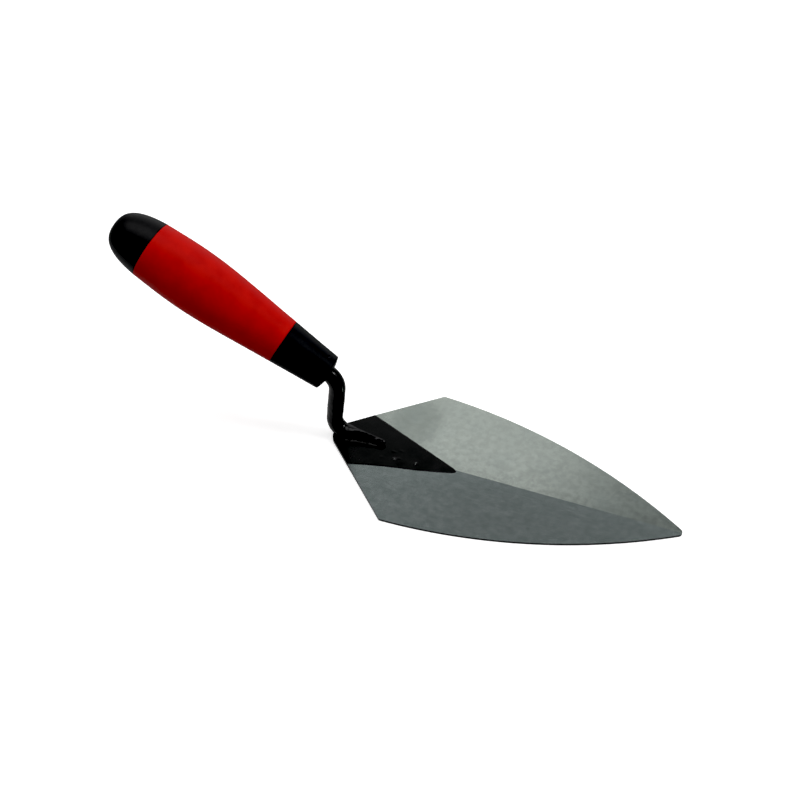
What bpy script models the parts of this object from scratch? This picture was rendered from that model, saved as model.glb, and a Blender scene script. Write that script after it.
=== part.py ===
"""Pointing and brick trowel: a ground steel blade, a welded gooseneck shank and a two-colour handle.

Lengths are in metres. The trowel lies on its blade: +X points from heel to tip, +Z is up, and the
origin is on the underside of the blade, halfway along it. Heel coordinates, used below for the
steel parts, count X from the sharp corner where the two straight heel edges would meet.
"""

import math

import bmesh
import bpy
from mathutils import Matrix, Vector

MM = 0.001
GAP = 0.3 * MM                      # kept between every two pieces that touch

# Blade
BLADE_LENGTH = 180 * MM             # sharp heel corner to tip
SHOULDER_X = 46.9 * MM              # widest point, from the sharp heel corner
HALF_WIDTH = 44.1 * MM
SIDE_BOW = 9.2 * MM                 # how far the curved side stands out of its chord
HEEL_RADIUS = 9 * MM
SHOULDER_RADIUS = 2 * MM
TIP_RADIUS = 2.3 * MM
TIP_HALF_ANGLE = math.radians(33)
HEEL_THICKNESS = 1.7 * MM
EDGE_THICKNESS = 1.1 * MM
EDGE_BREAK = 0.15 * MM              # bevel that breaks the sharp edges
FLAT_BASE = 0.41                    # where the unground flat ends, as a part of each heel edge
RIDGE_START = Vector((70 * MM, -2.6 * MM))   # front corner of the flat, ground a little off centre

# Shank: a round bar bent into a gooseneck, with its foot flattened on the blade
BAR_RADIUS = 4.07 * MM
HANDLE_TILT = math.radians(28.7)    # the handle rises backwards by this angle
COLLAR_FACE = Vector((2.5 * MM, 0, 41.3 * MM))   # where the bar leaves the handle and starts to bend
UPPER_BEND = 9.4 * MM
DROP_LEAN = math.radians(6.8)       # the drop leans back as it goes down
DROP_LENGTH = 19.9 * MM
LOWER_BEND = 8 * MM
FOOT_NOSE_X = 31.8 * MM
FOOT_NOSE_HALF_WIDTH = 1.9 * MM
FOOT_NOSE_RISE = 1.4 * MM
NOSE_ROUNDING = 0.06                # last part of the foot's length, where the nose rounds off
TANG_STRAIGHT = 30 * MM
TANG_LENGTH = 82 * MM
TANG_TIP_RADIUS = 1.8 * MM
SOLE_BLOCK = (60 * MM, 30 * MM, 10 * MM)   # block that cuts the sole flat, longer and wider than the foot
BAR_SIDES = 20

# Fillet welds along the foot
WELD_START_X = 9.5 * MM
WELD_END_X = 29.5 * MM
WELD_HEIGHT = 1.7 * MM
WELD_LEGS = {"weld_bead_right": 2.4 * MM, "weld_bead_left": 1.5 * MM}

# Handle, measured back along its axis from where the bar starts to bend
HANDLE_LENGTH = 120.9 * MM
FRONT_RIM = -0.5 * MM               # rim of the domed front face
FRONT_BULGE = 1.5 * MM              # how far the middle of that face stands out
BORE_MOUTH = 4.7 * MM               # radius of the opening where the bar comes out
COLLAR_LENGTH = 25.6 * MM
SLEEVE_END = 100.8 * MM
FRONT_RADIUS = 9.07 * MM
SLEEVE_END_RADIUS = 14.25 * MM
BELLY_HANDLES = ((66.3 * MM, 14.91 * MM), (66.8 * MM, 16.67 * MM))
DOME_START = 84 * MM
DOME_RADIUS = 14.78 * MM
DOME_POWER = 2.93
SKIN = 2.6 * MM                     # wall of the collar and of the soft sleeve
COLLAR_WALL = 3 * MM                # front wall of the collar
FRONT_EDGE_RADIUS = 0.8 * MM
SPIGOT_RADIUS = 9 * MM              # the core's end, which plugs into the butt cap
SPIGOT_START = 98 * MM
SPIGOT_END = 112 * MM
HANDLE_SIDES = 40

COLLECTION = "brick_trowel"


def clear_scene():
    for item in list(bpy.data.objects):
        bpy.data.objects.remove(item, do_unlink=True)


def new_collection(name):
    collection = bpy.data.collections.new(name)
    bpy.context.scene.collection.children.link(collection)
    return collection


def make_material(name, colour, roughness, metallic):
    material = bpy.data.materials.new(name)
    material.use_nodes = True
    shader = material.node_tree.nodes["Principled BSDF"]
    shader.inputs["Base Color"].default_value = (*colour, 1)
    shader.inputs["Roughness"].default_value = roughness
    shader.inputs["Metallic"].default_value = metallic
    return material


def add_object(name, mesh, material, parent, collection):
    piece = bpy.data.objects.new(name, mesh)
    mesh.materials.append(material)
    collection.objects.link(piece)
    piece.parent = parent
    return piece


def arc(centre, radius, start, end, steps):
    """Points on a circle in the plane, from one angle to another."""
    angles = [start + (end - start) * step / steps for step in range(steps + 1)]
    return [Vector((centre[0] + radius * math.cos(a), centre[1] + radius * math.sin(a))) for a in angles]


# ---------------------------------------------------------------- blade

def heel_arc_half():
    """The rounded heel, from the centreline round to where it meets the straight left heel edge."""
    slope = math.atan2(HALF_WIDTH, SHOULDER_X)
    centre = (HEEL_RADIUS / math.sin(slope), 0)
    return arc(centre, HEEL_RADIUS, math.pi, math.pi / 2 + slope, 6)


def side_curve():
    """The bowed side, from the shoulder to the rounded tip, as one circular arc."""
    shoulder = Vector((SHOULDER_X, HALF_WIDTH))
    tip_centre = Vector((BLADE_LENGTH - TIP_RADIUS, 0))
    turn = math.pi / 2 - TIP_HALF_ANGLE
    tip = tip_centre + TIP_RADIUS * Vector((math.cos(turn), math.sin(turn)))
    chord = tip - shoulder
    radius = chord.length_squared / (8 * SIDE_BOW) + SIDE_BOW / 2
    inward = Vector((chord.y, -chord.x)).normalized()
    centre = (shoulder + tip) / 2 + inward * (radius - SIDE_BOW)
    start = math.atan2(shoulder.y - centre.y, shoulder.x - centre.x)
    end = math.atan2(tip.y - centre.y, tip.x - centre.x)
    return arc(centre, radius, start, end, 26)


def rounded_shoulder(before, after):
    """A small arc that takes the point off the shoulder, between the heel edge and the side."""
    shoulder = Vector((SHOULDER_X, HALF_WIDTH))
    heading_in = math.atan2(shoulder.y - before.y, shoulder.x - before.x)
    heading_out = math.atan2(after.y - shoulder.y, after.x - shoulder.x)
    setback = SHOULDER_RADIUS * math.tan((heading_in - heading_out) / 2)
    tangent = shoulder - setback * Vector((math.cos(heading_in), math.sin(heading_in)))
    centre = tangent + SHOULDER_RADIUS * Vector((math.sin(heading_in), -math.cos(heading_in)))
    return arc(centre, SHOULDER_RADIUS, heading_in + math.pi / 2, heading_out + math.pi / 2, 3)


def left_outline():
    """Outline of the left half: the heel, the heel edge with the end of the flat, the side and the tip."""
    heel = heel_arc_half()
    flat_corner = Vector((SHOULDER_X, HALF_WIDTH)) * FLAT_BASE
    side = side_curve()
    shoulder = rounded_shoulder(flat_corner, side[1])
    heel_edge = [flat_corner.lerp(shoulder[0], step / 4) for step in range(4)]
    tip_centre = (BLADE_LENGTH - TIP_RADIUS, 0)
    tip = arc(tip_centre, TIP_RADIUS, math.pi / 2 - TIP_HALF_ANGLE, 0, 4)
    return heel, heel_edge + shoulder + side[1:] + tip[1:]


def edge_height(point):
    """Thickness of the blade's edge: full beside the flat, thinning towards the shoulder."""
    flat_end = SHOULDER_X * FLAT_BASE
    share = min(max((point.x - flat_end) / (SHOULDER_X - flat_end), 0), 1)
    return HEEL_THICKNESS + (EDGE_THICKNESS - HEEL_THICKNESS) * share


def build_blade(material, parent, collection):
    """A flat underside, the unground flat at the heel, and a ground facet on each side of the ridge."""
    heel, ground_edge = left_outline()
    shape = bmesh.new()

    def add_point(x, y, z):
        return shape.verts.new((x, y, z))

    def both_levels(points, side):
        tops = [add_point(p.x, p.y * side, edge_height(p)) for p in points]
        bottoms = [add_point(p.x, p.y * side, 0) for p in points]
        return tops, bottoms

    left_tops, left_bottoms = both_levels(ground_edge[:-1], 1)
    right_tops, right_bottoms = both_levels(ground_edge[:-1], -1)
    tip_tops, tip_bottoms = both_levels(ground_edge[-1:], 1)
    heel_points = [Vector((p.x, -p.y)) for p in reversed(heel[1:])] + heel
    heel_tops, heel_bottoms = both_levels(heel_points, 1)

    lengths = [0]
    for first, second in zip(ground_edge, ground_edge[1:]):
        lengths.append(lengths[-1] + (second - first).length)
    shares = [length / lengths[-1] for length in lengths]
    flat_share = RIDGE_START.x / BLADE_LENGTH

    ridge_tip = Vector((ground_edge[-1].x, 0, EDGE_THICKNESS))
    ridge_start = Vector((*RIDGE_START, HEEL_THICKNESS))
    ridge = {}
    corner_index = min(range(len(shares)), key=lambda i: abs(shares[i] - flat_share))
    for index in range(corner_index, len(shares) - 1):
        share = (shares[index] - shares[corner_index]) / (1 - shares[corner_index])
        ridge[index] = shape.verts.new(ridge_start.lerp(ridge_tip, share))

    flat_borders = []
    for side, tops in ((1, left_tops), (-1, right_tops)):
        border = [tops[0]]
        for index in range(1, corner_index):
            share = shares[index] / shares[corner_index]
            border.append(shape.verts.new(tops[0].co.lerp(ridge_start, share)))
        border.append(ridge[corner_index])
        flat_borders.append(border)
        inner = border + [ridge[index] for index in range(corner_index + 1, len(shares) - 1)]
        for index in range(len(tops) - 1):
            quad = [inner[index], inner[index + 1], tops[index + 1], tops[index]]
            corners = [v for n, v in enumerate(quad) if v not in quad[:n]]
            shape.faces.new(corners)
        shape.faces.new([inner[-1], tip_tops[0], tops[-1]])

    shape.faces.new(heel_tops + flat_borders[0] + flat_borders[1][-2::-1])
    around_tops = heel_tops + left_tops + tip_tops + right_tops[::-1]
    around_bottoms = heel_bottoms + left_bottoms + tip_bottoms + right_bottoms[::-1]
    for index in range(len(around_tops)):
        pair = (index, (index + 1) % len(around_tops))
        shape.faces.new([around_tops[i] for i in pair] + [around_bottoms[i] for i in reversed(pair)])
    shape.faces.new(around_bottoms)
    bmesh.ops.recalc_face_normals(shape, faces=shape.faces)

    mesh = bpy.data.meshes.new("blade")
    shape.to_mesh(mesh)
    shape.free()
    mesh.shade_smooth()
    mesh.set_sharp_from_angle(angle=math.radians(1.2))
    blade = add_object("blade", mesh, material, parent, collection)
    bevel = blade.modifiers.new("broken_edges", "BEVEL")
    bevel.width = EDGE_BREAK
    bevel.segments = 1
    bevel.limit_method = "ANGLE"
    bevel.angle_limit = math.radians(40)
    return blade


# ---------------------------------------------------------------- shank and welds

def bar_path():
    """Centreline of the bar below the handle, as (point, heading) pairs in the plane Y = 0."""
    position = Vector((COLLAR_FACE.x, COLLAR_FACE.z))
    heading = -HANDLE_TILT
    path = []

    def bend(radius, target, steps):
        nonlocal position, heading
        side = 1 if target > heading else -1
        centre = position + radius * side * Vector((-math.sin(heading), math.cos(heading)))
        for step in range(steps + 1):
            angle = heading + (target - heading) * step / steps
            path.append((centre - radius * side * Vector((-math.sin(angle), math.cos(angle))), angle))
        position = path[-1][0]
        heading = target

    bend(UPPER_BEND, -math.pi / 2 - DROP_LEAN, 9)
    position = position + DROP_LENGTH * Vector((math.cos(heading), math.sin(heading)))
    bend(LOWER_BEND, 0, 11)
    return path


def foot_size(share):
    """Half width and rise of the foot, from the bend (share 0) to the nose (share 1)."""
    narrowing = (1 - share) ** 2
    half_width = FOOT_NOSE_HALF_WIDTH + (BAR_RADIUS - FOOT_NOSE_HALF_WIDTH) * narrowing
    rise = BAR_RADIUS + (FOOT_NOSE_RISE - BAR_RADIUS) * share
    return half_width, rise


def foot_start():
    """Where the lower bend ends and the foot begins, as (x, z)."""
    return bar_path()[-1][0]


def oval(centre, across, upward, sides):
    """Points of an oval section with the given half-axis vectors."""
    turns = [2 * math.pi * step / sides for step in range(sides)]
    return [centre + across * math.cos(turn) + upward * math.sin(turn) for turn in turns]


def shank_sections():
    """Oval sections from the tip of the tang to the nose of the foot."""
    side = Vector((0, 1, 0))
    back = Vector((-math.cos(HANDLE_TILT), 0, math.sin(HANDLE_TILT)))
    upward = side.cross(back)
    sections = []
    tang_stations = [(TANG_LENGTH + TANG_TIP_RADIUS * 0.7, 0.5), (TANG_LENGTH, 1)]
    for reach, fullness in tang_stations:
        radius = TANG_TIP_RADIUS * fullness
        sections.append(oval(COLLAR_FACE + back * reach, side * radius, upward * radius, BAR_SIDES))
    shoulder = COLLAR_FACE + back * TANG_STRAIGHT
    sections.append(oval(shoulder, side * BAR_RADIUS, upward * BAR_RADIUS, BAR_SIDES))
    for point, heading in bar_path():
        upward = Vector((-math.sin(heading), 0, math.cos(heading)))
        centre = Vector((point.x, 0, point.y))
        sections.append(oval(centre, side * BAR_RADIUS, upward * BAR_RADIUS, BAR_SIDES))
    start = foot_start()
    full = 1 - NOSE_ROUNDING
    for share in (0.2, 0.4, 0.6, 0.8, full, 1 - NOSE_ROUNDING * 0.5, 1 - NOSE_ROUNDING * 0.13, 1):
        half_width, rise = foot_size(share)
        ahead = max(share - full, 0) / NOSE_ROUNDING
        fullness = math.sqrt(max(1 - ahead ** 2, 0.03))
        centre = Vector((start.x + (FOOT_NOSE_X - start.x) * share, 0, start.y))
        across = side * half_width * fullness
        sections.append(oval(centre, across, Vector((0, 0, rise * fullness)), BAR_SIDES))
    return sections


def loft(name, sections):
    """A closed skin over a row of sections that all have the same number of points."""
    shape = bmesh.new()
    rings = [[shape.verts.new(point) for point in section] for section in sections]
    count = len(rings[0])
    for first, second in zip(rings, rings[1:]):
        for index in range(count):
            after = (index + 1) % count
            shape.faces.new([first[index], first[after], second[after], second[index]])
    shape.faces.new(rings[0])
    shape.faces.new(rings[-1])
    bmesh.ops.recalc_face_normals(shape, faces=shape.faces)
    mesh = bpy.data.meshes.new(name)
    shape.to_mesh(mesh)
    shape.free()
    mesh.shade_smooth()
    mesh.set_sharp_from_angle(angle=math.radians(35))
    return mesh


def build_shank(material, parent, collection, cutters):
    """The bar from tang to foot, with its sole cut flat just above the blade."""
    shank = add_object("shank", loft("shank", shank_sections()), material, parent, collection)
    block = bmesh.new()
    bmesh.ops.create_cube(block, size=1)
    length, width, depth = SOLE_BLOCK
    size = Matrix.Diagonal((length, width, depth, 1))
    place = Matrix.Translation((FOOT_NOSE_X - length / 3, 0, HEEL_THICKNESS + GAP - depth / 2))
    bmesh.ops.transform(block, matrix=place @ size, verts=block.verts)
    mesh = bpy.data.meshes.new("sole_cutter")
    block.to_mesh(mesh)
    block.free()
    cutter = bpy.data.objects.new("sole_cutter", mesh)
    cutters.objects.link(cutter)
    cutter.parent = parent
    cutter.hide_render = True
    cutter.display_type = "WIRE"
    cut = shank.modifiers.new("flat_sole", "BOOLEAN")
    cut.operation = "DIFFERENCE"
    cut.solver = "EXACT"
    cut.object = cutter
    return shank


def build_weld(name, leg, side, material, parent, collection):
    """A rounded fillet bead in the corner between the foot and the blade."""
    start = foot_start()
    base = HEEL_THICKNESS + GAP
    stations = 14
    sections = []
    for station in range(stations + 1):
        along = station / stations
        x = WELD_START_X + (WELD_END_X - WELD_START_X) * along
        share = max((x - start.x) / (FOOT_NOSE_X - start.x), 0)
        half_width, _rise = foot_size(share)
        fullness = math.sqrt(max(1 - (2 * along - 1) ** 6, 0.12))
        taper = (1 - 0.45 * along) * fullness
        inner = half_width + GAP
        corner = Vector((x, inner * side, base))
        crown = arc((0, 0), 1, math.pi / 2, 0, 5)
        rim = [corner + Vector((0, p.x * leg * side, p.y * WELD_HEIGHT)) * taper for p in crown]
        sections.append([corner] + rim)
    return add_object(name, loft(name, sections), material, parent, collection)


# ---------------------------------------------------------------- handle

def outer_radius(reach):
    """Radius of the handle's outside at a distance back along its axis."""
    if reach > SLEEVE_END:
        share = (reach - DOME_START) / (HANDLE_LENGTH - DOME_START)
        return DOME_RADIUS * max(1 - share ** DOME_POWER, 0) ** (1 / DOME_POWER)
    (reach_1, radius_1), (reach_2, radius_2) = BELLY_HANDLES
    low, high = 0, 1
    for _halving in range(40):
        middle = (low + high) / 2
        rest = 1 - middle
        here = 3 * middle * rest ** 2 * reach_1 + 3 * middle ** 2 * rest * reach_2 + middle ** 3 * SLEEVE_END
        low, high = (middle, high) if here < reach else (low, middle)
    rest = 1 - low
    ends = rest ** 3 * FRONT_RADIUS + low ** 3 * SLEEVE_END_RADIUS
    return ends + 3 * low * rest ** 2 * radius_1 + 3 * low ** 2 * rest * radius_2


def stations(start, end, count):
    return [start + (end - start) * step / count for step in range(count + 1)]


def outside(start, end, count, inset=0):
    """Profile points on the handle's outside, or set in from it, from one station to another."""
    return [(outer_radius(reach) - inset, reach) for reach in stations(start, end, count)]


def tang_radius(reach):
    if reach <= TANG_STRAIGHT:
        return BAR_RADIUS
    share = (reach - TANG_STRAIGHT) / (TANG_LENGTH - TANG_STRAIGHT)
    return BAR_RADIUS + (TANG_TIP_RADIUS - BAR_RADIUS) * share


def turned(name, profile, closed, material, parent, collection):
    """A solid of revolution from (radius, reach) points that run forwards down the outside."""
    mesh = bpy.data.meshes.new(name)
    edges = [(index, index + 1) for index in range(len(profile) - 1)]
    if closed:
        edges.append((len(profile) - 1, 0))
    mesh.from_pydata([(radius, 0, reach) for radius, reach in profile], edges, [])
    piece = add_object(name, mesh, material, parent, collection)
    screw = piece.modifiers.new("turning", "SCREW")
    screw.axis = "Z"
    screw.angle = 2 * math.pi
    screw.steps = HANDLE_SIDES
    screw.render_steps = HANDLE_SIDES
    screw.use_merge_vertices = True
    screw.merge_threshold = 0.01 * MM
    screw.use_smooth_shade = True
    return piece


def front_face(radius):
    """Reach of the collar's domed front face at a distance from the axis."""
    share = radius / (FRONT_RADIUS - FRONT_EDGE_RADIUS)
    return FRONT_RIM - FRONT_BULGE * (1 - share ** 2)


def build_collar(material, parent, collection):
    """The front collar, a cup whose domed front wall closes round the bar."""
    edge_centre = (FRONT_RADIUS - FRONT_EDGE_RADIUS, FRONT_RIM + FRONT_EDGE_RADIUS)
    outer = outside(COLLAR_LENGTH - GAP / 2, edge_centre[1], 7)
    edge = [(p.x, p.y) for p in arc(edge_centre, FRONT_EDGE_RADIUS, 0, -math.pi / 2 + 0.3, 3)]
    face = [(radius, front_face(radius)) for radius in stations(edge_centre[0], BORE_MOUTH, 4)]
    bore = [(BAR_RADIUS + GAP, 0), (BAR_RADIUS + GAP, COLLAR_WALL)]
    inner = outside(COLLAR_WALL, COLLAR_LENGTH - GAP / 2, 4, inset=SKIN)
    profile = outer + edge[1:] + face + bore + inner
    return turned("front_collar", profile, True, material, parent, collection)


def build_sleeve(material, parent, collection):
    """The soft grip, an even skin over the core between the collar and the butt cap."""
    start = COLLAR_LENGTH + GAP / 2
    end = SLEEVE_END - GAP / 2
    profile = outside(end, start, 14) + outside(start, end, 8, inset=SKIN)
    return turned("grip_sleeve", profile, True, material, parent, collection)


def build_butt_cap(material, parent, collection):
    """The domed cap, with a socket for the core's spigot."""
    start = SLEEVE_END + GAP / 2
    turns = [math.pi / 2 * step / 15 for step in range(16)]
    span = HANDLE_LENGTH - start
    dome = [(outer_radius(start + span * math.cos(turn)), start + span * math.cos(turn)) for turn in turns]
    socket_depth = SPIGOT_END + GAP
    socket = [(SPIGOT_RADIUS + GAP, start), (SPIGOT_RADIUS + GAP, socket_depth), (0, socket_depth)]
    return turned("butt_cap", [(0, HANDLE_LENGTH)] + dome[1:] + socket, False, material, parent, collection)


def build_core(material, parent, collection):
    """The rigid core, with a blind bore for the tang and a spigot for the butt cap."""
    front = COLLAR_WALL + GAP
    bore_end = TANG_LENGTH + TANG_TIP_RADIUS + GAP
    spigot = [(0, SPIGOT_END), (SPIGOT_RADIUS, SPIGOT_END), (SPIGOT_RADIUS, SPIGOT_START)]
    body = outside(SPIGOT_START, front, 10, inset=SKIN + GAP)
    bore = [(tang_radius(reach) + GAP, reach) for reach in (front, TANG_STRAIGHT, TANG_LENGTH)]
    bore += [(tang_radius(TANG_LENGTH) + GAP, bore_end), (0, bore_end)]
    return turned("handle_core", spigot + body + bore, False, material, parent, collection)


# ---------------------------------------------------------------- assembly

def main():
    clear_scene()
    pieces = new_collection(COLLECTION)
    cutters = new_collection("cutters")

    heel = bpy.data.objects.new("heel_frame", None)
    heel.location = (-BLADE_LENGTH / 2, 0, 0)
    axis = bpy.data.objects.new("handle_axis", None)
    axis.parent = heel
    axis.location = COLLAR_FACE
    axis.rotation_euler = (0, HANDLE_TILT - math.pi / 2, 0)
    for empty in (heel, axis):
        pieces.objects.link(empty)

    steel = make_material("ground_steel", (0.45, 0.46, 0.47), 0.38, 1.0)
    lacquer = make_material("black_lacquer", (0.012, 0.012, 0.014), 0.25, 0.0)
    weld = make_material("lacquered_weld", (0.015, 0.015, 0.016), 0.35, 0.0)
    soft_red = make_material("red_soft_grip", (0.68, 0.02, 0.012), 0.5, 0.0)
    soft_black = make_material("black_soft_rubber", (0.018, 0.019, 0.022), 0.55, 0.0)
    hard_black = make_material("black_core_plastic", (0.02, 0.02, 0.02), 0.45, 0.0)

    build_blade(steel, heel, pieces)
    build_shank(lacquer, heel, pieces, cutters)
    for name, side in (("weld_bead_right", -1), ("weld_bead_left", 1)):
        build_weld(name, WELD_LEGS[name], side, weld, heel, pieces)
    build_core(hard_black, axis, pieces)
    build_collar(soft_black, axis, pieces)
    build_sleeve(soft_red, axis, pieces)
    build_butt_cap(soft_black, axis, pieces)


main()
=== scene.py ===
import math
from functools import lru_cache

import bmesh
import bpy
from mathutils import Matrix, Vector, noise


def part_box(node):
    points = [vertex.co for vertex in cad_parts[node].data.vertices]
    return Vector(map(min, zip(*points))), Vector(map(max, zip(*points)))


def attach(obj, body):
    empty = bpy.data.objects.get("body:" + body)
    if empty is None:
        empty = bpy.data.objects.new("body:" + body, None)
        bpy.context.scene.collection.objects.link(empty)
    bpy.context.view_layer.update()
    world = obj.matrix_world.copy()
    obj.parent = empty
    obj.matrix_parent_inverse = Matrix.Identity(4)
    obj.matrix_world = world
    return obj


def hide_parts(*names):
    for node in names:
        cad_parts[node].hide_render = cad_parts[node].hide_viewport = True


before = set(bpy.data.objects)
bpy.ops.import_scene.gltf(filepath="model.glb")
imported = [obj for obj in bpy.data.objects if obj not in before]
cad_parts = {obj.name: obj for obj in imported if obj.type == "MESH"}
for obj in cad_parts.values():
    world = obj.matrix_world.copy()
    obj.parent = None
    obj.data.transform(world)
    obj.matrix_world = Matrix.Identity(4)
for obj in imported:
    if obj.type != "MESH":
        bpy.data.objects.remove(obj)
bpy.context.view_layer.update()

MM = 0.001

# Blade, in heel coordinates: X starts where the heel's two edges would meet, and runs to the tip
BLADE_LENGTH = 2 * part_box("blade")[1].x
BLADE_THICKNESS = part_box("blade")[1].z
HALF_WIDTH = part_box("blade")[1].y + 0.05 * MM
SHOULDER_X = 46.9 * MM
SIDE_BOW = 9.2 * MM
HEEL_RADIUS = 9 * MM
SHOULDER_RADIUS = 2 * MM
TIP_RADIUS = 2.3 * MM
TIP_HALF_ANGLE = math.radians(33)
EDGE_THICKNESS = 1.1 * MM
FLAT_BASE = 0.41
RIDGE_START = Vector((70 * MM, -2.6 * MM))
# Painted shade on the far facet: where and how big its darker oval patch is, and the grey it darkens to.
SHADE_PATCH_MIDDLE = (41 * MM, 20 * MM)
SHADE_PATCH_SIZE = (16 * MM, 24 * MM)
PAINTED_SHADE_GREY = (0.15, 0.18, 0.165)
# Painted shade: the greys that each facet darkens to towards the tip.
LEFT_TIP_SHADE = (0.12, 0.145, 0.14)
RIGHT_TIP_SHADE = (0.16, 0.19, 0.19)
FILM = 0.05 * MM
FILM_BORDERS = {
    1: (Vector((18.9 * MM, 17.8 * MM)), Vector((70.6 * MM, -2.6 * MM))),
    -1: (Vector((19.5 * MM, -18.3 * MM)), Vector((70.6 * MM, -4.5 * MM))),
}
# Painted highlights on the flat, pale grey patches on two raised specks: place, then half sizes along and
# across the blade, in mm
FILM_GLINT_PATCHES = ((50.4, -5.7, 0.35, 1.3), (39.5, -6.6, 0.5, 0.4))
GLINT_GREY = (0.16, 0.17, 0.165)
# Runs and specks in the lacquer: place, half sizes along and across the blade, and rise, in mm
FILM_SPOTS = (
    (39.7, -6.6, 0.8, 0.7, 0.5),
    (41.6, -5.6, 1.0, 0.3, 0.16),
    (37.6, -2.2, 1.3, 0.3, 0.12),
    (41.0, -0.6, 1.6, 0.3, 0.10),
    (33.0, -7.8, 0.8, 0.5, 0.10),
    (50.3, -5.8, 0.35, 1.0, 0.4),
)

# Shank
BAR_RADIUS = 4.07 * MM
HANDLE_TILT = math.radians(28.7)
COLLAR_FACE = Vector((2.5 * MM, 0, 41.3 * MM))
UPPER_BEND = 9.4 * MM
DROP_LEAN = math.radians(6.8)
DROP_LENGTH = 19.9 * MM
LOWER_BEND = 8 * MM
FOOT_NOSE_X = 31.8 * MM
FOOT_NOSE_HALF_WIDTH = 1.9 * MM
FOOT_NOSE_RISE = 1.4 * MM
NOSE_ROUNDING = 0.09
TANG_STRAIGHT = 30 * MM
TANG_LENGTH = 82 * MM
TANG_TIP_RADIUS = 1.8 * MM

# Welds
WELD_START_X = 9.5 * MM
WELD_END_X = 29.5 * MM
WELD_HEIGHT = 1.9 * MM
WELD_LEGS = {-1: 2.6 * MM, 1: 1.6 * MM}

# Stage
FLOOR_REACH = 4.0
WALL_BEND = 1.5
WALL_TOP = 6.0
SWEEP_GLOW = 0.62
WORLD_GLOW = 0.22
BLACK_LEVEL = 0.011

# Camera: angles in degrees, azimuth 0 at -Y and turning towards +X
CAMERA_AZIMUTH = 22.7
CAMERA_ELEVATION = 44.3
CAMERA_ROLL = -0.75
CAMERA_DISTANCE = 577 * MM
CAMERA_TARGET = Vector((25.8 * MM - BLADE_LENGTH / 2, 34.26 * MM, 0))
CAMERA_LENS = 50
CAMERA_SENSOR = 36

# Handle, back along its axis from where the bar starts to bend
HANDLE_LENGTH = 120.9 * MM
FRONT_RIM = -0.5 * MM
FRONT_BULGE = 1.5 * MM
BORE_MOUTH = 4.6 * MM
COLLAR_LENGTH = 25.6 * MM
SLEEVE_END = 100.8 * MM
FRONT_RADIUS = 9.07 * MM
SLEEVE_END_RADIUS = 14.25 * MM
BELLY_HANDLES = ((66.3 * MM, 14.91 * MM), (66.8 * MM, 16.67 * MM))
DOME_START = 84 * MM
DOME_RADIUS = 14.78 * MM
DOME_POWER = 2.93
SKIN = 2.6 * MM
COLLAR_WALL = 3 * MM
SEAM = 0.06 * MM
FRONT_EDGE_RADIUS = 0.8 * MM
BORE_PLAY = 0.2 * MM
SOCKET_RADIUS = 9.3 * MM
SOCKET_END = 112.3 * MM
RIM_STEPS = (0, 0.3, 0.65)

HEEL_PLACE = Vector((-BLADE_LENGTH / 2, 0, 0))
HANDLE_TURN = Matrix.Rotation(HANDLE_TILT - math.pi / 2, 4, "Y")
HANDLE_PLACE = HEEL_PLACE + COLLAR_FACE


# ---------------------------------------------------------------- mesh helpers

def arc(centre, radius, start, end, steps):
    """Points along an arc in a plane, both ends included; angles in radians."""
    angles = [start + (end - start) * step / steps for step in range(steps + 1)]
    return [Vector((centre[0] + radius * math.cos(a), centre[1] + radius * math.sin(a))) for a in angles]


def wander(point, size, seed):
    """Smooth noise between about -1 and 1 that changes over the given size."""
    return noise.noise(Vector(point) / size + Vector((seed * 7.31, seed * 3.17, seed * 5.71)))


def finish_piece(name, mesh, material, replaced, place=HEEL_PLACE, sharp=35):
    """Turn a mesh into a smooth-shaded piece that rides the trowel's one body, and hide the part it replaces.
    """
    mesh.materials.append(material)
    mesh.shade_smooth()
    if sharp:
        mesh.set_sharp_from_angle(angle=math.radians(sharp))
    piece = bpy.data.objects.new(name, mesh)
    bpy.context.scene.collection.objects.link(piece)
    piece.location = place
    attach(piece, "root")
    if replaced:
        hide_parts(replaced)
    return piece


def mesh_from(name, shape):
    """A mesh from a bmesh, with its face normals made consistent; the bmesh is freed."""
    bmesh.ops.recalc_face_normals(shape, faces=shape.faces)
    mesh = bpy.data.meshes.new(name)
    shape.to_mesh(mesh)
    shape.free()
    return mesh


def skin_over(name, sections):
    """A closed skin over a row of sections with the same number of points."""
    shape = bmesh.new()
    rings = [[shape.verts.new(point) for point in section] for section in sections]
    count = len(rings[0])
    for first, second in zip(rings, rings[1:]):
        for index in range(count):
            after = (index + 1) % count
            shape.faces.new([first[index], first[after], second[after], second[index]])
    shape.faces.new(rings[0])
    shape.faces.new(rings[-1])
    return mesh_from(name, shape)


# ---------------------------------------------------------------- materials

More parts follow.
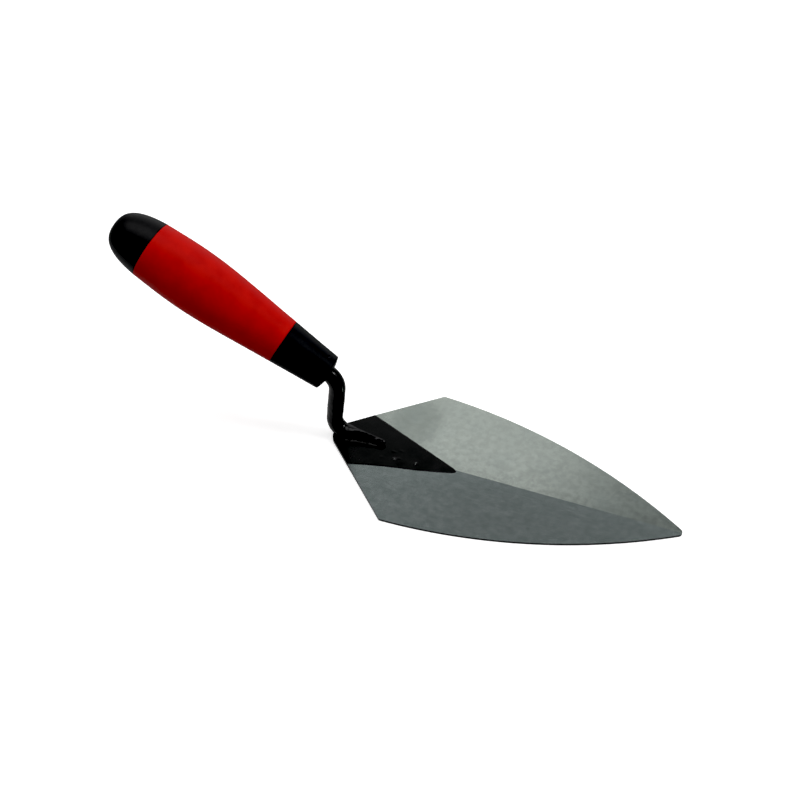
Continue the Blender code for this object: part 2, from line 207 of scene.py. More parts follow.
class Nodes:
    """Short calls for building a material's node tree."""

    def __init__(self, name, roughness, metallic=0.0):
        self.material = bpy.data.materials.new(name)
        self.material.use_nodes = True
        self.tree = self.material.node_tree
        self.shader = self.tree.nodes["Principled BSDF"]
        self.shader.inputs["Roughness"].default_value = roughness
        self.shader.inputs["Metallic"].default_value = metallic
        self.place = self.tree.nodes.new("ShaderNodeTexCoord").outputs["Object"]
        self.height = None

    def link(self, source, target):
        self.tree.links.new(source, target)

    def feed(self, value, socket):
        if isinstance(value, (int, float)):
            socket.default_value = value
        elif isinstance(value, tuple):
            is_colour = len(value) == 3 and len(socket.default_value) == 4
            socket.default_value = (*value, 1) if is_colour else value
        else:
            self.link(value, socket)

    def maths(self, operation, first, second=0.0, third=0.0):
        node = self.tree.nodes.new("ShaderNodeMath")
        node.operation = operation
        for value, socket in zip((first, second, third), node.inputs):
            self.feed(value, socket)
        return node.outputs[0]

    def axes(self):
        node = self.tree.nodes.new("ShaderNodeSeparateXYZ")
        self.link(self.place, node.inputs[0])
        return node.outputs

    def stretched(self, scale, turn=0.0):
        node = self.tree.nodes.new("ShaderNodeMapping")
        node.inputs["Rotation"].default_value = (0, 0, turn)
        node.inputs["Scale"].default_value = scale
        self.link(self.place, node.inputs["Vector"])
        return node.outputs[0]

    def noise(self, scale, detail=3.0, roughness=0.55, place=None):
        node = self.tree.nodes.new("ShaderNodeTexNoise")
        node.inputs["Scale"].default_value = scale
        node.inputs["Detail"].default_value = detail
        node.inputs["Roughness"].default_value = roughness
        self.link(place or self.place, node.inputs["Vector"])
        return node.outputs["Fac"]

    def ramp(self, value, low, high, low_out=0.0, high_out=1.0):
        node = self.tree.nodes.new("ShaderNodeMapRange")
        node.interpolation_type = "SMOOTHSTEP"
        for number, socket in zip((low, high, low_out, high_out), list(node.inputs)[1:5]):
            socket.default_value = number
        self.link(value, node.inputs[0])
        return node.outputs[0]

    def mix(self, share, first, second):
        node = self.tree.nodes.new("ShaderNodeMix")
        node.data_type = "RGBA"
        self.feed(share, node.inputs[0])
        self.feed(first, node.inputs[6])
        self.feed(second, node.inputs[7])
        return node.outputs[2]

    def around(self, across, middle, size):
        """0 at the middle of an oval patch, 1 on its rim, and more outside it."""
        squares = []
        for axis, at, half in zip(across, middle, size):
            offset = self.maths("DIVIDE", self.maths("SUBTRACT", axis, at), half)
            squares.append(self.maths("MULTIPLY", offset, offset))
        return self.maths("ADD", *squares)

    def colour(self, value):
        self.feed(value, self.shader.inputs["Base Color"])

    def rough(self, value):
        self.feed(value, self.shader.inputs["Roughness"])

    def bump(self, height, distance, strength=1.0):
        node = self.tree.nodes.new("ShaderNodeBump")
        node.inputs["Strength"].default_value = strength
        node.inputs["Distance"].default_value = distance
        self.link(height, node.inputs["Height"])
        if self.height is not None:
            self.link(self.height, node.inputs["Normal"])
        self.height = node.outputs[0]
        self.link(self.height, self.shader.inputs["Normal"])


def ground_steel():
    """Carbon steel: two ground facets with fine scratches along them, and painted shade and reflection: the
    near facet darker than the far one, a darker patch near the shoulder, a darker band towards the heel,
    darker to the tip.
    """
    nodes = Nodes("ground_steel_look", 0.2, 1.0)
    across = nodes.axes()
    ridge_slope = -RIDGE_START.y / (BLADE_LENGTH - RIDGE_START.x)
    ridge = nodes.maths("MULTIPLY_ADD", across[0], -ridge_slope, ridge_slope * BLADE_LENGTH)
    beside = nodes.maths("ADD", across[1], ridge)
    left = nodes.ramp(beside, -0.2 * MM, 0.2 * MM)
    grit_left = nodes.noise(1.0, 4, 0.6, nodes.stretched((140, 2400, 900), math.radians(12)))
    grit_right = nodes.noise(1.0, 4, 0.6, nodes.stretched((110, 2600, 900), math.radians(-4)))
    mottle = nodes.noise(360, 3, 0.5)
    cloud = nodes.noise(60, 3, 0.5)

    # Painted reflection: the far (left) facet's base colour is lighter than the near (right) facet's,
    # standing in for the brighter light the far facet mirrors.
    left_metal = nodes.mix(nodes.ramp(mottle, 0.3, 0.7), (0.48, 0.53, 0.49), (0.57, 0.63, 0.58))
    # Painted shade: the far facet darkens away from the ridge towards its outer edge.
    left_metal = nodes.mix(nodes.ramp(beside, 9 * MM, 40 * MM, 0.0, 0.30), left_metal, (0.28, 0.32, 0.29))
    # Painted shade: a darker oval patch near the shoulder, then a darker band towards the heel.
    patch = nodes.around(across, SHADE_PATCH_MIDDLE, SHADE_PATCH_SIZE)
    left_metal = nodes.mix(nodes.ramp(patch, 1.0, 0.0, 0.0, 0.42), left_metal, PAINTED_SHADE_GREY)
    left_metal = nodes.mix(nodes.ramp(across[0], 45 * MM, 22 * MM, 0.0, 0.30), left_metal, PAINTED_SHADE_GREY)
    # Painted shade: the far facet darker towards the tip.
    left_metal = nodes.mix(nodes.ramp(across[0], 95 * MM, 165 * MM, 0.0, 0.62), left_metal, LEFT_TIP_SHADE)
    left_metal = nodes.mix(nodes.ramp(cloud, 0.42, 0.75, 0.0, 0.3), left_metal, (0.36, 0.42, 0.40))
    right_metal = nodes.mix(nodes.ramp(mottle, 0.3, 0.7), (0.365, 0.43, 0.42), (0.395, 0.45, 0.445))
    # Painted shade: the near facet darker towards the tip.
    right_metal = nodes.mix(nodes.ramp(across[0], 15 * MM, 110 * MM, 0.0, 0.42), right_metal, RIGHT_TIP_SHADE)
    metal = nodes.mix(left, right_metal, left_metal)
    underside = nodes.ramp(across[2], 0.2 * MM, 0.05 * MM)
    plain_metal = nodes.mix(nodes.ramp(cloud, 0.3, 0.7), (0.36, 0.40, 0.39), (0.42, 0.46, 0.45))
    metal = nodes.mix(underside, metal, plain_metal)
    streaks = nodes.mix(left, grit_right, grit_left)
    metal = nodes.mix(nodes.ramp(streaks, 0.45, 0.85, 0.0, 0.14), metal, (0.62, 0.65, 0.64))
    nodes.colour(metal)
    nodes.rough(nodes.ramp(nodes.maths("ADD", mottle, streaks), 0.6, 1.4, 0.185, 0.225))
    nodes.bump(streaks, 0.003 * MM, 0.8)
    nodes.bump(mottle, 0.003 * MM, 0.8)
    return nodes.material


def black_lacquer(name, base, roughness, orange_peel, specular, glint_patches=()):
    """Dipped black lacquer, glossy with soft unevenness, dust and, where asked, pale grey patches that paint
    a highlight on raised specks.
    """
    nodes = Nodes(name, roughness)
    nodes.shader.inputs["Specular IOR Level"].default_value = specular
    dust = nodes.noise(900, 4, 0.7)
    cloud = nodes.noise(140, 3, 0.5)
    colour = nodes.mix(nodes.ramp(dust, 0.6, 0.8, 0.0, 0.5), base, tuple(3.5 * part for part in base))
    across = nodes.axes() if glint_patches else None
    for middle_x, middle_y, half_x, half_y in glint_patches:
        # Painted highlight: a pale grey patch where a raised speck catches the light.
        glint_patch = nodes.around(across, (middle_x * MM, middle_y * MM), (half_x * MM, half_y * MM))
        colour = nodes.mix(nodes.ramp(glint_patch, 1.0, 0.2, 0.0, 0.6), colour, GLINT_GREY)
    nodes.colour(colour)
    nodes.rough(nodes.ramp(cloud, 0.3, 0.7, roughness * 0.75, roughness * 1.4))
    nodes.bump(nodes.noise(420, 3, 0.5), orange_peel, 0.6)
    return nodes.material


def red_soft_grip():
    """Red thermoplastic rubber with a fine dull grain and slight tone changes."""
    nodes = Nodes("red_soft_grip_look", 0.5)
    nodes.shader.inputs["Specular IOR Level"].default_value = 0.1
    tone = nodes.noise(110, 3, 0.6)
    grain = nodes.noise(2600, 2, 0.5)
    red = nodes.mix(nodes.ramp(tone, 0.3, 0.7), (0.56, 0.006, 0.005), (0.645, 0.011, 0.008))
    nodes.colour(nodes.mix(nodes.ramp(grain, 0.62, 0.8, 0.0, 0.25), red, (0.66, 0.03, 0.02)))
    nodes.rough(nodes.ramp(tone, 0.3, 0.7, 0.46, 0.58))
    nodes.bump(grain, 0.03 * MM, 0.5)
    nodes.bump(nodes.noise(500, 3, 0.5), 0.05 * MM, 0.25)
    return nodes.material


def black_soft(name, base, roughness, grain_scale, specular):
    """Black moulded end of the handle with a fine spark-eroded grain."""
    nodes = Nodes(name, roughness)
    nodes.shader.inputs["Specular IOR Level"].default_value = specular
    grain = nodes.noise(grain_scale, 3, 0.6)
    tone = nodes.noise(90, 3, 0.5)
    nodes.colour(nodes.mix(nodes.ramp(tone, 0.3, 0.7), base, tuple(1.6 * part for part in base)))
    nodes.rough(nodes.ramp(grain, 0.3, 0.7, roughness * 0.85, roughness * 1.15))
    nodes.bump(grain, 0.04 * MM, 0.5)
    return nodes.material


# ---------------------------------------------------------------- blade

def blade_outline():
    """Left half of the outline: the rounded heel, then the edge from the flat's corner to the tip."""
    slope = math.atan2(HALF_WIDTH, SHOULDER_X)
    heel = arc((HEEL_RADIUS / math.sin(slope), 0), HEEL_RADIUS, math.pi, math.pi / 2 + slope, 16)
    flat_corner = Vector((SHOULDER_X, HALF_WIDTH)) * FLAT_BASE
    shoulder = Vector((SHOULDER_X, HALF_WIDTH))

    tip_centre = Vector((BLADE_LENGTH - TIP_RADIUS, 0))
    turn = math.pi / 2 - TIP_HALF_ANGLE
    tip_join = tip_centre + TIP_RADIUS * Vector((math.cos(turn), math.sin(turn)))
    chord = tip_join - shoulder
    radius = chord.length_squared / (8 * SIDE_BOW) + SIDE_BOW / 2
    inward = Vector((chord.y, -chord.x)).normalized()
    centre = (shoulder + tip_join) / 2 + inward * (radius - SIDE_BOW)
    start = math.atan2(shoulder.y - centre.y, shoulder.x - centre.x)
    end = math.atan2(tip_join.y - centre.y, tip_join.x - centre.x)
    side = arc(centre, radius, start, end, 90)

    heading_out = start - math.pi / 2
    setback = SHOULDER_RADIUS * math.tan((slope - heading_out) / 2)
    tangent = shoulder - setback * Vector((math.cos(slope), math.sin(slope)))
    corner_centre = tangent + SHOULDER_RADIUS * Vector((math.sin(slope), -math.cos(slope)))
    corner = arc(corner_centre, SHOULDER_RADIUS, slope + math.pi / 2, heading_out + math.pi / 2, 6)

    heel_edge = [flat_corner.lerp(corner[0], step / 20) for step in range(20)]
    tip = arc(tip_centre, TIP_RADIUS, turn, 0, 10)
    return heel, heel_edge + corner + side[1:] + tip[1:]


def edge_height(x):
    """Height of the blade's top edge, which thins from the flat's corner to the shoulder and then stays."""
    flat_end = SHOULDER_X * FLAT_BASE
    share = min(max((x - flat_end) / (SHOULDER_X - flat_end), 0), 1)
    return BLADE_THICKNESS + (EDGE_THICKNESS - BLADE_THICKNESS) * share


def make_blade(material, edge_material):
    """The steel plate: flat underside, flat heel, and a slightly wavy ground facet each side of the ridge."""
    heel, edge = blade_outline()
    shape = bmesh.new()
    lengths = [0]
    for first, second in zip(edge, edge[1:]):
        lengths.append(lengths[-1] + (second - first).length)
    shares = [length / lengths[-1] for length in lengths]
    flat_share = RIDGE_START.x / BLADE_LENGTH
    corner_index = min(range(len(shares)), key=lambda i: abs(shares[i] - flat_share))
    ridge_tip = Vector((edge[-1].x, 0, EDGE_THICKNESS))
    ridge_start = Vector((*RIDGE_START, BLADE_THICKNESS))
    rows = 14

    def ridge_place(index):
        share = (shares[index] - shares[corner_index]) / (1 - shares[corner_index])
        return ridge_start.lerp(ridge_tip, share)

    ridge = [shape.verts.new(ridge_place(i)) for i in range(corner_index, len(shares) - 1)]
    tip_top = shape.verts.new(ridge_tip)
    tip_bottom = shape.verts.new((ridge_tip.x, 0, 0))
    rims, borders, bottoms = [], [], []
    for side in (1, -1):
        flat_corner = Vector((edge[0].x, edge[0].y * side, BLADE_THICKNESS))
        columns = [[shape.verts.new(flat_corner)]]
        for index in range(1, len(shares) - 1):
            if index < corner_index:
                inner = flat_corner.lerp(ridge_start, shares[index] / shares[corner_index])
                column = [shape.verts.new(inner)]
            else:
                inner = ridge_place(index)
                column = [ridge[index - corner_index]]
            outer = Vector((edge[index].x, edge[index].y * side, edge_height(edge[index].x)))
            for row in range(1, rows + 1):
                point = inner.lerp(outer, row / rows)
                swell = math.sin(math.pi * row / rows) * 0.035 * MM
                point.z += swell * wander((point.x, point.y, 0), 16 * MM, 1)
                column.append(shape.verts.new(point))
            columns.append(column)
        for first, second in zip(columns, columns[1:]):
            if len(first) == 1:
                for low, high in zip(second, second[1:]):
                    shape.faces.new([first[0], low, high])
                continue
            for row in range(rows):
                shape.faces.new([first[row], second[row], second[row + 1], first[row + 1]])
        for low, high in zip(columns[-1], columns[-1][1:]):
            shape.faces.new([low, tip_top, high])
        rims.append([column[-1] for column in columns])
        borders.append([column[0] for column in columns[:corner_index]])
        bottoms.append([shape.verts.new((p.x, p.y * side, 0)) for p in edge[:-1]])

    heel_line = [Vector((p.x, -p.y)) for p in reversed(heel[1:])] + heel
    heel_tops = [shape.verts.new((p.x, p.y, BLADE_THICKNESS)) for p in heel_line]
    heel_bottoms = [shape.verts.new((p.x, p.y, 0)) for p in heel_line]
    shape.faces.new(heel_tops + borders[0] + [ridge[0]] + borders[1][::-1])
    tops = heel_tops + rims[0] + [tip_top] + rims[1][::-1]
    under = heel_bottoms + bottoms[0] + [tip_bottom] + bottoms[1][::-1]
    for index in range(len(tops)):
        pair = (index, (index + 1) % len(tops))
        rim = shape.faces.new([tops[i] for i in pair] + [under[i] for i in reversed(pair)])
        rim.material_index = 1
    shape.faces.new(under)
    keep_crisp = set(ridge + borders[0] + borders[1] + [tip_top])
    for line in shape.edges:
        if line.verts[0] in keep_crisp and line.verts[1] in keep_crisp:
            line.smooth = False
    mesh = mesh_from("blade_plate", shape)
    crisp = [line.use_edge_sharp for line in mesh.edges]
    blade = finish_piece("blade_plate", mesh, material, "blade", sharp=40)
    mesh.materials.append(edge_material)
    for line, was_crisp in zip(mesh.edges, crisp):
        if was_crisp:
            line.use_edge_sharp = True
    bevel = blade.modifiers.new("broken_edges", "BEVEL")
    bevel.width = 0.12 * MM
    bevel.material = 1
    bevel.segments = 2
    bevel.limit_method = "ANGLE"
    bevel.angle_limit = math.radians(40)
    return blade


def film_border(x, side, nose_x):
    """Left (side 1) or right (-1) border of the lacquered flat at a distance from the heel corner."""
    slope = math.atan2(HALF_WIDTH, SHOULDER_X)
    centre_x = HEEL_RADIUS / math.sin(slope)
    reach = HEEL_RADIUS + FILM
    if x < centre_x - reach * math.sin(slope):
        return side * math.sqrt(max(reach ** 2 - (x - centre_x) ** 2, 0))
    edge_y = x * math.tan(slope) + FILM / math.cos(slope)
    start, end = FILM_BORDERS[side]
    share = (x - start.x) / (nose_x - start.x)
    if share < 0:
        return side * edge_y
    if side < 0:
        bow = -0.45 * MM * math.sin(2 * math.pi * share)
    else:
        bow = 0.1 * MM * math.sin(math.pi * share)
    blunt = 1 - math.sqrt(max(1 - max(share * 26 - 25, 0) ** 2, 0))
    ragged = 0.16 * MM * wander((x, side * 0.05, 0), 2.6 * MM, 4) * min(1, share * 8)
    straight = start.y + (end.y - start.y) * share
    nose_middle = (FILM_BORDERS[1][1].y + FILM_BORDERS[-1][1].y) / 2
    straight += (nose_middle - straight) * blunt
    return max(min(straight + side * bow + ragged, edge_y), -edge_y)


def make_heel_film(material):
    """The black lacquer left on the unground flat and round the heel's edge, with a few runs in it."""
    heel, _edge = blade_outline()
    heel_x = heel[0].x - FILM
    nose_x = FILM_BORDERS[1][1].x
    sections = []
    count = 170
    across = 60
    for step in range(count + 1):
        x = heel_x + (nose_x - heel_x) * (0.5 - 0.5 * math.cos(math.pi * step / count)) ** 0.85
        low, high = film_border(x, -1, nose_x), film_border(x, 1, nose_x)
        if high - low < 0.02 * MM:
            middle = (high + low) / 2
            low, high = middle - 0.01 * MM, middle + 0.01 * MM
        depth = 0.02 * MM if x < FILM_BORDERS[1][0].x else BLADE_THICKNESS - 0.35 * MM
        top = BLADE_THICKNESS + FILM
        section = []
        for index in range(across + 1):
            share = index / across
            y = low + (high - low) * share
            z = top - FILM * 0.8 * (index in (0, across)) + 0.015 * MM * wander((x, y, 0), 6 * MM, 2)
            for spot_x, spot_y, size_x, size_y, rise in FILM_SPOTS:
                distance = ((x / MM - spot_x) / size_x) ** 2 + ((y / MM - spot_y) / size_y) ** 2
                z += rise * MM * math.exp(-2.2 * distance)
            section.append(Vector((x, y, z)))
        section += [Vector((x, high, depth)), Vector((x, (low + high) / 2, depth)), Vector((x, low, depth))]
        sections.append(section)
    mesh = skin_over("heel_lacquer", sections)
    return finish_piece("heel_lacquer", mesh, material, None, sharp=50)


# ---------------------------------------------------------------- shank and welds

def bar_stations():
    """(point, heading, half width, half height) along the centreline, from the tang's tip to the nose."""
    course = []
    back = Vector((-math.cos(HANDLE_TILT), math.sin(HANDLE_TILT)))
    face = Vector((COLLAR_FACE.x, COLLAR_FACE.z))
    tip = TANG_LENGTH + TANG_TIP_RADIUS * 0.7
    tang = [(tip, 0.5 * TANG_TIP_RADIUS), (TANG_LENGTH, TANG_TIP_RADIUS)]
    tang += [(TANG_STRAIGHT * (1 - step / 12), BAR_RADIUS) for step in range(13)]
    for reach, radius in tang:
        course.append((face + back * reach, -HANDLE_TILT, radius, radius))
    position, heading = face, -HANDLE_TILT

    def bend(radius, target, steps):
        nonlocal position, heading
        side = 1 if target > heading else -1
        centre = position + radius * side * Vector((-math.sin(heading), math.cos(heading)))
        for step in range(1, steps + 1):
            angle = heading + (target - heading) * step / steps
            point = centre - radius * side * Vector((-math.sin(angle), math.cos(angle)))
            course.append((point, angle, BAR_RADIUS, BAR_RADIUS))
        position, heading = course[-1][0], target

    bend(UPPER_BEND, -math.pi / 2 - DROP_LEAN, 26)
    drop = DROP_LENGTH * Vector((math.cos(heading), math.sin(heading)))
    for step in range(1, 40):
        course.append((position + drop * step / 40, heading, BAR_RADIUS, BAR_RADIUS))
    position = position + drop
    bend(LOWER_BEND, 0, 34)
    for step in range(1, 71):
        share = math.sin(math.pi / 2 * step / 70) ** 0.9
        half_width, rise = foot_size(share)
        ahead = max(share - (1 - NOSE_ROUNDING), 0) / NOSE_ROUNDING
        fullness = math.sqrt(max(1 - ahead ** 2, 0.0004))
        point = Vector((position.x + (FOOT_NOSE_X - position.x) * share, position.y))
        course.append((point, 0, half_width * fullness, rise * fullness))
    return course


def foot_size(share):
    """Half width and rise of the foot at a share of its length, from the bend to the nose."""
    half_width = FOOT_NOSE_HALF_WIDTH + (BAR_RADIUS - FOOT_NOSE_HALF_WIDTH) * (1 - share) ** 2
    return half_width, BAR_RADIUS + (FOOT_NOSE_RISE - BAR_RADIUS) * share


def ridged(turn, blend):
    """A unit section that goes from round (blend 0) to a ridge set towards the left side (blend 1)."""
    power = 2 / (2 - 0.68 * blend)
    across = math.copysign(abs(math.cos(turn)) ** power, math.cos(turn))
    above = math.copysign(abs(math.sin(turn)) ** power, math.sin(turn))
    return across + 0.34 * blend * max(above, 0) ** 2, above * (1 + 0.07 * blend)


FOOT_BEND_X = next(point.x for point, heading, *_size in bar_stations() if heading == 0)


def make_shank(material):
    """The forged bar: lumpy under its lacquer, more so at the hammered foot."""
    sides = 56
    sole = BLADE_THICKNESS + FILM * 0.5
    sections = []
    for point, heading, half_width, rise in bar_stations():
        centre = Vector((point.x, 0, point.y))
        upward = Vector((-math.sin(heading), 0, math.cos(heading)))
        near_foot = min(max((36 * MM - point.y) / (18 * MM), 0), 1)
        flatness = min(max((point.x - FOOT_BEND_X) / (5 * MM), 0), 1) if point.y < 10 * MM else 0
        inside = point.x < COLLAR_FACE.x - 1 * MM and point.y > COLLAR_FACE.z
        section = []
        for side in range(sides):
            turn = 2 * math.pi * side / sides
            across, above = ridged(turn, flatness)
            out = Vector((0, math.cos(turn), 0)) + upward * math.sin(turn)
            spot = centre + Vector((0, half_width * across, 0)) + upward * rise * above
            lumps = 0.05 + 0.13 * near_foot
            fine = 0.02 + 0.12 * near_foot
            offset = lumps * wander(spot, 5 * MM, 11) + fine * wander(spot, 1.6 * MM, 12)
            if not inside:
                spot += out * offset * MM
            if point.y < 20 * MM:
                spot.z = max(spot.z, sole)
            section.append(spot)
        sections.append(section)
    mesh = skin_over("shank_bar", sections)
    return finish_piece("shank_bar", mesh, material, "shank", sharp=60)


def make_weld(side, material):
    """A lumpy fillet bead between the foot and the blade, on the left (side 1) or the right (-1)."""
    name, replaced = ("weld_right", "weld_bead_right") if side < 0 else ("weld_left", "weld_bead_left")
    sections = []
    count = 90
    for step in range(count + 1):
        along = step / count
        x = WELD_START_X + (WELD_END_X - WELD_START_X) * along
        share = max((x - FOOT_BEND_X) / (FOOT_NOSE_X - FOOT_BEND_X), 0)
        half_width, _rise = foot_size(share)
        fullness = math.sqrt(max(1 - (2 * along - 1) ** 6, 0.0))
        ripple = 1 + 0.35 * wander((x, side, 0), 2.4 * MM, 21) + 0.12 * wander((x, side, 0), 0.9 * MM, 22)
        taper = (1 - 0.45 * along) * max(fullness, 0.05) * ripple
        section = [Vector((x, side * (half_width - 0.9 * MM), BLADE_THICKNESS))]
        for point in arc((0, 0), 1, math.pi / 2, 0, 12):
            y = half_width - 0.15 * MM + point.x * WELD_LEGS[side] * taper
            z = BLADE_THICKNESS + point.y * WELD_HEIGHT * taper
            bump = 0.14 * MM * wander((x, y * side, z), 1.5 * MM, 23) * (0.3 + point.x)
            section.append(Vector((x, side * (y + bump), z + bump * 0.5)))
        sections.append(section)
    mesh = skin_over(name, sections)
    return finish_piece(name, mesh, material, replaced, sharp=60)


# ---------------------------------------------------------------- handle

@lru_cache(maxsize=None)
def outer_radius(reach):
    """Radius of the handle's outside at a distance along its axis: a Bezier curve, then a domed end."""
    if reach > SLEEVE_END:
        share = (reach - DOME_START) / (HANDLE_LENGTH - DOME_START)
        return DOME_RADIUS * max(1 - share ** DOME_POWER, 0) ** (1 / DOME_POWER)
    (reach_1, radius_1), (reach_2, radius_2) = BELLY_HANDLES
    low, high = 0, 1
    for _halving in range(40):
        middle = (low + high) / 2
        rest = 1 - middle
        here = 3 * middle * rest ** 2 * reach_1 + 3 * middle ** 2 * rest * reach_2 + middle ** 3 * SLEEVE_END
        low, high = (middle, high) if here < reach else (low, middle)
    rest = 1 - low
    ends = rest ** 3 * FRONT_RADIUS + low ** 3 * SLEEVE_END_RADIUS
    return ends + 3 * low * rest ** 2 * radius_1 + 3 * low ** 2 * rest * radius_2


def stations(start, end, count):
    """Evenly spaced values from start to end, both included."""
    return [start + (end - start) * step / count for step in range(count + 1)]


def turned(name, profile, relief, material, replaced, sides=192):
    """A turned skin from a closed (radius, reach) profile; relief(turn, reach) raises the outside."""
    shape = bmesh.new()
    rings = []
    for side in range(sides):
        turn = 2 * math.pi * side / sides
        ring = []
        for radius, reach, outside in profile:
            raised = radius + (relief(turn, reach) if outside else 0)
            ring.append(shape.verts.new((raised * math.cos(turn), raised * math.sin(turn), reach)))
        rings.append(ring)
    count = len(profile)
    for side in range(sides):
        first, second = rings[side], rings[(side + 1) % sides]
        for index in range(count):
            after = (index + 1) % count
            if profile[index][0] == 0 and profile[after][0] == 0:
                continue
            shape.faces.new([first[index], first[after], second[after], second[index]])
    bmesh.ops.remove_doubles(shape, verts=shape.verts, dist=0.0005 * MM)
    mesh = mesh_from(name, shape)
    mesh.transform(HANDLE_TURN)
    return finish_piece(name, mesh, material, replaced, place=HANDLE_PLACE, sharp=40)


def parting_line(turn, reach, height, width):
    """The fine raised line left where the mould's halves meet, on both sides of the handle."""
    total = 0
    for middle in (math.pi / 2, 3 * math.pi / 2):
        arc_distance = abs((turn - middle + math.pi) % (2 * math.pi) - math.pi) * outer_radius(reach)
        total += height * max(1 - (arc_distance / width) ** 2, 0)
    return total


def dimple(turn, reach, at_turn, at_reach, size, depth, lip=0.0):
    """Change of radius round a small flat-bottomed pit, with an optional raised lip."""
    around = ((turn - at_turn + math.pi) % (2 * math.pi) - math.pi) * outer_radius(at_reach)
    distance = math.hypot(around, reach - at_reach) / size
    return -depth * math.exp(-(distance ** 4)) + lip * math.exp(-((distance - 1.35) * 3.5) ** 2)


def rounded_rim(seam, rim, steps):
    """Outside points where the skin rolls over into a seam; a negative rim lies ahead of the seam."""
    size = abs(rim)
    rolled = []
    for share in steps:
        reach = seam + rim * share
        rolled.append((outer_radius(reach) - size * (1 - math.sqrt(1 - (1 - share) ** 2)), reach, True))
    return rolled


def make_sleeve(material):
    """The red grip: a skin over the core, with a moulding line on each side and one dimple."""
    start, end = COLLAR_LENGTH + SEAM / 2, SLEEVE_END - SEAM / 2
    rim = 0.18 * MM

    def relief(turn, reach):
        soft = 0.03 * MM * wander((math.cos(turn) * 12 * MM, math.sin(turn) * 12 * MM, reach), 14 * MM, 31)
        line = parting_line(turn, reach, 0.10 * MM, 0.35 * MM)
        line *= 0.75 + 0.5 * wander((reach, turn, 0), 2 * MM, 33)
        return soft + line + dimple(turn, reach, math.radians(-10), 31 * MM, 0.8 * MM, 0.12 * MM)

    outside = rounded_rim(end, -rim, RIM_STEPS)
    outside += [(outer_radius(reach), reach, True) for reach in stations(end - rim, start + rim, 170)]
    outside += rounded_rim(start, rim, RIM_STEPS[::-1])
    inside = [(outer_radius(reach) - SKIN, reach, False) for reach in stations(start, end, 8)]
    return turned("soft_grip", outside + inside, relief, material, "grip_sleeve", sides=288)


def front_face(radius):
    """Reach of the collar's domed front face at a distance from the axis."""
    share = radius / (FRONT_RADIUS - FRONT_EDGE_RADIUS)
    return FRONT_RIM - FRONT_BULGE * (1 - share ** 2)


def make_collar(material):
    """The black front of the handle, with a domed face, a bore for the bar and one dimple."""
    end = COLLAR_LENGTH - SEAM / 2
    rim = 0.15 * MM

    def relief(turn, reach):
        soft = 0.02 * MM * wander((math.cos(turn) * 9 * MM, math.sin(turn) * 9 * MM, reach), 9 * MM, 41)
        line = parting_line(turn, reach, 0.07 * MM, 0.3 * MM)
        return soft + line + dimple(turn, reach, math.radians(5), 3.6 * MM, 0.75 * MM, 0.22 * MM, 0.05 * MM)

    outside = rounded_rim(end, -rim, RIM_STEPS)
    centre = Vector((FRONT_RADIUS - FRONT_EDGE_RADIUS, FRONT_RIM + FRONT_EDGE_RADIUS))
    outside += [(outer_radius(reach), reach, True) for reach in stations(end - rim, centre.y, 100)]
    edge = [(p.x, p.y, False) for p in arc(centre, FRONT_EDGE_RADIUS, 0, -math.pi / 2 + 0.35, 8)][1:]
    face = [(radius, front_face(radius), False) for radius in stations(centre.x, BORE_MOUTH, 14)]
    bore_reaches = (front_face(BORE_MOUTH) + 0.5 * MM, COLLAR_WALL)
    bore = [(BAR_RADIUS + BORE_PLAY, reach, False) for reach in bore_reaches]
    inner = [(outer_radius(reach) - SKIN, reach, False) for reach in stations(COLLAR_WALL, end, 5)]
    profile = outside + edge + face + bore + inner
    return turned("collar_shell", profile, relief, material, "front_collar", sides=240)


def make_cap(material):
    """The black domed end of the handle, hollow where it takes the core's spigot."""
    start = SLEEVE_END + SEAM / 2
    rim = 0.15 * MM
    span = HANDLE_LENGTH - start - rim

    def relief(turn, reach):
        soft = 0.03 * MM * wander((math.cos(turn) * 12 * MM, math.sin(turn) * 12 * MM, reach), 9 * MM, 51)
        fade = min(max((HANDLE_LENGTH - reach) / (6 * MM), 0), 1)
        return (soft + parting_line(turn, reach, 0.07 * MM, 0.3 * MM)) * fade

    dome = []
    for turn in [math.pi / 2 * step / 60 for step in range(61)]:
        reach = start + rim + span * math.cos(turn)
        dome.append((outer_radius(reach) if turn else 0, reach, True))
    dome += rounded_rim(start, rim, RIM_STEPS[::-1])
    socket = [(SOCKET_RADIUS, start, False), (SOCKET_RADIUS, SOCKET_END, False), (0, SOCKET_END, False)]
    return turned("cap_dome", dome + socket, relief, material, "butt_cap")


# ---------------------------------------------------------------- stage

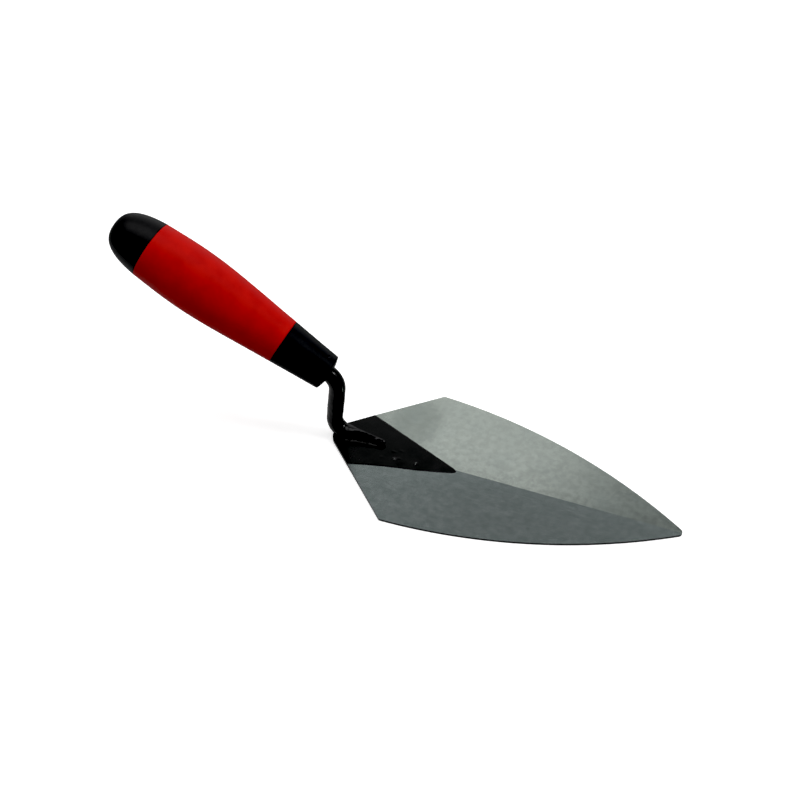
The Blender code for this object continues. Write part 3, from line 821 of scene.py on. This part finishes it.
def make_sweep():
    """A white floor that curves up into a wall all round. It lights nothing and mirrors in nothing."""
    profile = [(FLOOR_REACH * 0.9, 0)]
    for turn in stations(0, math.pi / 2, 12):
        profile.append((FLOOR_REACH + WALL_BEND * math.sin(turn), WALL_BEND * (1 - math.cos(turn))))
    profile.append((FLOOR_REACH + WALL_BEND, WALL_TOP))
    shape = bmesh.new()
    sides = 64
    rings = []
    for radius, height in profile:
        turns = [2 * math.pi * side / sides for side in range(sides)]
        rings.append([shape.verts.new((radius * math.cos(t), radius * math.sin(t), height)) for t in turns])
    shape.faces.new(rings[0])
    for first, second in zip(rings, rings[1:]):
        for index in range(sides):
            after = (index + 1) % sides
            shape.faces.new([first[index], first[after], second[after], second[index]])
    mesh = mesh_from("white_sweep", shape)
    mesh.shade_smooth()
    nodes = Nodes("white_sweep_look", 0.9)
    tone = nodes.noise(3, 2, 0.5)
    nodes.colour(nodes.mix(nodes.ramp(tone, 0.3, 0.7), (0.91, 0.91, 0.91), (0.92, 0.92, 0.92)))
    nodes.shader.inputs["Specular IOR Level"].default_value = 0.05
    nodes.shader.inputs["Emission Color"].default_value = (1, 1, 1, 1)
    nodes.shader.inputs["Emission Strength"].default_value = SWEEP_GLOW
    mesh.materials.append(nodes.material)
    sweep = bpy.data.objects.new("white_sweep", mesh)
    sweep.location = (0, 0, -0.05 * MM)
    sweep.visible_diffuse = False
    sweep.visible_glossy = False
    sweep.visible_shadow = False
    bpy.context.scene.collection.objects.link(sweep)


def make_panel(name, azimuth, elevation, distance, half_width, half_height, radiance):
    """A soft light facing the origin; angles in degrees, azimuth 0 at +Y and turning towards +X."""
    a, e = math.radians(azimuth), math.radians(elevation)
    away = Vector((math.sin(a) * math.cos(e), math.cos(a) * math.cos(e), math.sin(e)))
    light = bpy.data.lights.new(name, "AREA")
    light.shape = "RECTANGLE"
    light.size = 2 * distance * math.tan(math.radians(half_width))
    light.size_y = 2 * distance * math.tan(math.radians(half_height))
    light.energy = math.pi * light.size * light.size_y * radiance
    lamp = bpy.data.objects.new(name, light)
    lamp.location = away * distance
    lamp.rotation_mode = "QUATERNION"
    lamp.rotation_quaternion = away.to_track_quat("Z", "Y")
    bpy.context.scene.collection.objects.link(lamp)


def make_lights():
    """An even world and four soft panels, one of them in place of the light that a floor throws back."""
    world = bpy.data.worlds.new("studio")
    bpy.context.scene.world = world
    world.use_nodes = True
    world.node_tree.nodes["Background"].inputs["Color"].default_value = (1, 1, 1, 1)
    world.node_tree.nodes["Background"].inputs["Strength"].default_value = WORLD_GLOW
    make_panel("key_softbox", -20, 82, 2.0, 33, 17, 2.2)
    make_panel("backdrop_light", -12, 22.2, 3.0, 30, 25, 0.62)
    make_panel("side_softbox", 79, 38, 2.0, 3.5, 3.5, 30)
    make_panel("floor_bounce", -108, -42, 2.0, 32, 16, 0.27)


def make_camera():
    """The camera of the main view."""
    azimuth, elevation = math.radians(CAMERA_AZIMUTH), math.radians(CAMERA_ELEVATION)
    level = math.cos(elevation)
    back = Vector((math.sin(azimuth) * level, -math.cos(azimuth) * level, math.sin(elevation)))
    camera = bpy.data.objects.new("camera", bpy.data.cameras.new("camera"))
    camera.data.lens = CAMERA_LENS
    camera.data.sensor_width = CAMERA_SENSOR
    camera.location = CAMERA_TARGET + back * CAMERA_DISTANCE
    camera.rotation_mode = "QUATERNION"
    rolled = Matrix.Rotation(math.radians(CAMERA_ROLL), 4, "Z").to_quaternion()
    camera.rotation_quaternion = (-back).to_track_quat("-Z", "Y") @ rolled
    bpy.context.scene.collection.objects.link(camera)
    bpy.context.scene.camera = camera


# ---------------------------------------------------------------- assembly

for item in [o for o in bpy.data.objects if o.type in ("CAMERA", "LIGHT")]:
    bpy.data.objects.remove(item)
view = bpy.context.scene.view_settings
view.view_transform = "Standard"
view.use_curve_mapping = True
view.curve_mapping.black_level = (BLACK_LEVEL,) * 3
view.curve_mapping.update()

make_camera()
make_lights()
make_sweep()

lacquer = black_lacquer("black_lacquer_look", (0.004, 0.004, 0.0045), 0.19, 0.035 * MM, 0.25)
film_lacquer = black_lacquer("film_lacquer_look", (0.004, 0.0045, 0.0045), 0.2, 0.012 * MM, 0.19, FILM_GLINT_PATCHES)
weld_lacquer = black_lacquer("weld_lacquer_look", (0.004, 0.004, 0.004), 0.34, 0.05 * MM, 0.24)
make_blade(ground_steel(), weld_lacquer)
make_heel_film(film_lacquer)
make_shank(lacquer)
for weld_side in (-1, 1):
    make_weld(weld_side, weld_lacquer)
make_sleeve(red_soft_grip())
make_collar(black_soft("collar_look", (0.0035, 0.004, 0.005), 0.4, 1500, 0.1))
make_cap(black_soft("cap_look", (0.0035, 0.0035, 0.004), 0.42, 1800, 0.13))
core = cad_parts["handle_core"]
core.data.materials.clear()
core.data.materials.append(black_soft("core_look", (0.006, 0.006, 0.006), 0.4, 1200, 0.1))
